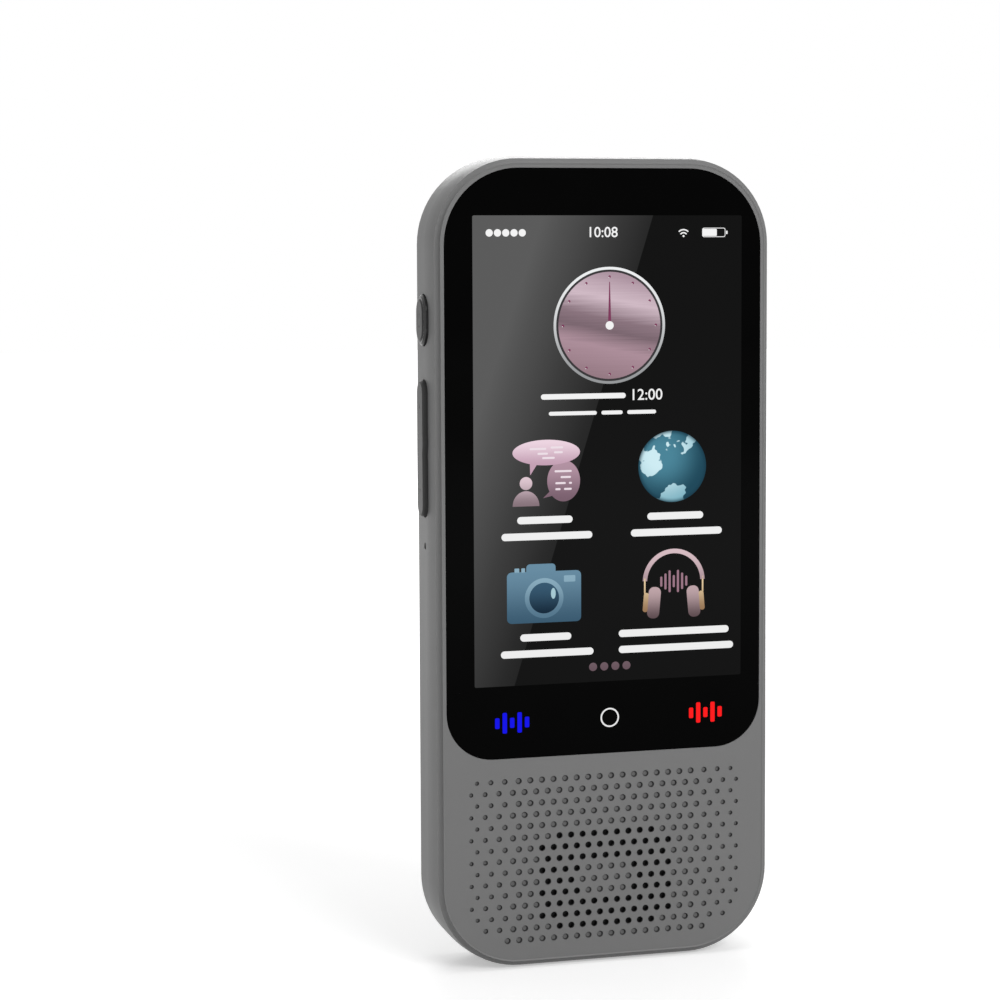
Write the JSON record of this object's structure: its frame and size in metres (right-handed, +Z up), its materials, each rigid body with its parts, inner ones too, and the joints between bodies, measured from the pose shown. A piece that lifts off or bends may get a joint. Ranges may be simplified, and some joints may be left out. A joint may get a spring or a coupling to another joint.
{
  "type": "handheld translator",
  "caption": "Upright slab hand-held voice translator with a touch screen, perforated speaker grille, side talk keys and a removable back cover with a camera.",
  "frame": {"origin": "middle of the foot on which the body stands", "axes": "+X to the right of somebody reading the screen, -Y out of the screen, +Z up the long side"},
  "size_m": [0.0668, 0.0138, 0.15],
  "materials": {
    "housing": "satin grey paint",
    "cover": "satin grey paint",
    "glass": "black printed cover glass, polished",
    "panel": "smooth",
    "magnesium": "die cast, bead blasted",
    "black_plastic": "fine spark texture",
    "board": "solder mask",
    "shield": "tin plated",
    "battery": "shrink film",
    "steel": "zinc plated",
    "gold": "gold plated",
    "foam": "closed cell foam",
    "rubber": "moulded",
    "cone": "film",
    "mesh": "woven",
    "key": "satin grey paint",
    "key_rim": "moulded in black",
    "blue_rim": "translucent blue",
    "red_rim": "translucent red",
    "trim": "black anodised, turned",
    "bezel": "gloss black",
    "lens": "coated glass"
  },
  "bodies": {
    "body": {"front_housing": "housing", "display_glass": "glass", "display_module": "panel", "mid_frame": "magnesium", "mid_frame_screws": "steel", "inner_frame": "black_plastic", "inner_frame_screws": "steel", "main_board": "board", "shield_cans": "shield", "board_connectors": "black_plastic", "card_socket": "shield", "battery": "battery", "battery_contacts": "gold", "antenna": "gold", "camera_module": "black_plastic", "usb_board": "board", "usb_socket": "steel", "speaker_module": "black_plastic", "speaker_cone": "cone", "speaker_gasket": "foam", "speaker_mesh": "mesh", "left_key_board": "board", "right_key_board": "board", "left_switches": "steel", "right_switches": "steel", "microphones": "shield", "microphone_boots": "rubber"},
    "power_key": {"power_key": "key", "power_key_rim": "key_rim"},
    "volume_rocker": {"volume_rocker": "key"},
    "photo_key": {"photo_key": "key", "photo_key_rim": "key_rim"},
    "blue_talk_key": {"blue_talk_key": "key", "blue_talk_key_rim": "blue_rim"},
    "red_talk_key": {"red_talk_key": "key", "red_talk_key_rim": "red_rim"},
    "back_cover": {"back_cover": "cover", "camera_ring": "trim", "camera_bezel": "bezel", "camera_window": "lens"}
  },
  "joints": [
    {"name": "power_key_press", "type": "slide", "parent": "body", "child": "power_key", "axis": [1, 0, 0], "range_m": [0, 0.0004], "stiffness_N_per_m": 500},
    {"name": "volume_rocker_tilt", "type": "hinge", "parent": "body", "child": "volume_rocker", "pos_m": [-0.028, 0.0005, 0.0966], "axis": [0, 1, 0], "range_deg": [-1.5, 1.5], "stiffness_Nm_per_rad": 0.05},
    {"name": "photo_key_press", "type": "slide", "parent": "body", "child": "photo_key", "axis": [-1, 0, 0], "range_m": [0, 0.0004], "stiffness_N_per_m": 500},
    {"name": "blue_talk_key_press", "type": "slide", "parent": "body", "child": "blue_talk_key", "axis": [-1, 0, 0], "range_m": [0, 0.0004], "stiffness_N_per_m": 500},
    {"name": "red_talk_key_press", "type": "slide", "parent": "body", "child": "red_talk_key", "axis": [-1, 0, 0], "range_m": [0, 0.0004], "stiffness_N_per_m": 500},
    {"name": "back_cover_lift", "type": "slide", "parent": "body", "child": "back_cover", "axis": [0, 1, 0], "range_m": [0, 0.012]}
  ]
}
